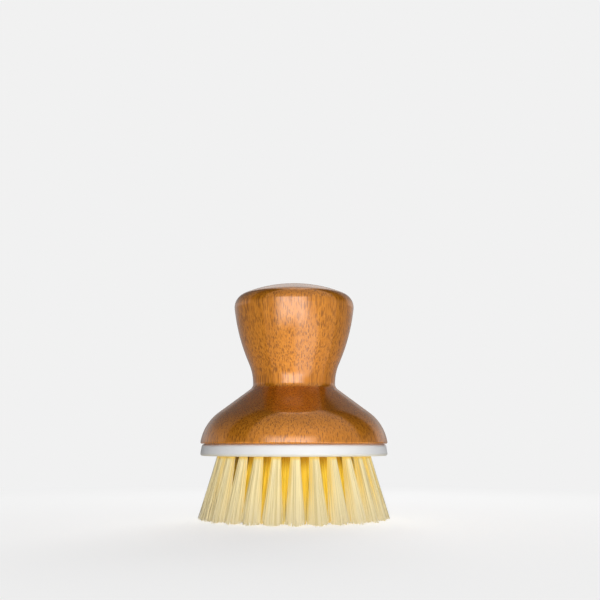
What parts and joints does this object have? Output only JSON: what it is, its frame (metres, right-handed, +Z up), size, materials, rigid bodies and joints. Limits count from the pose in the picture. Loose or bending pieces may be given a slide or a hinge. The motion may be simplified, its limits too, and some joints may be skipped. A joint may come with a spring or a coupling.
{
  "type": "dish brush",
  "caption": "Palm-held dish brush: a turned bamboo knob handle fixed to a round white plate that is set with rings of splayed bristle tufts.",
  "frame": {"origin": "middle of the trimmed bristle tips, where the brush's axis meets the surface that it stands on", "axes": "+Z up along the brush's axis through the middle of the knob; +X and +Y level, with -Y towards the viewer of the picture"},
  "size_m": [0.0776, 0.0777, 0.0958],
  "materials": {
    "bamboo": "clear gloss lacquer over turned bamboo",
    "white_plastic": "satin moulded plastic",
    "bristle": "cream yellow nylon filament, slightly clear",
    "anchor_wire": "bright flat wire",
    "screw_steel": "zinc plated"
  },
  "bodies": {
    "root": {"bamboo_handle": "bamboo", "brush_plate": "white_plastic", "tuft_anchors": "anchor_wire", "fixing_screw": "screw_steel", "outer_tufts": "bristle", "second_tufts": "bristle", "third_tufts": "bristle", "inner_tufts": "bristle"}
  },
  "joints": []
}
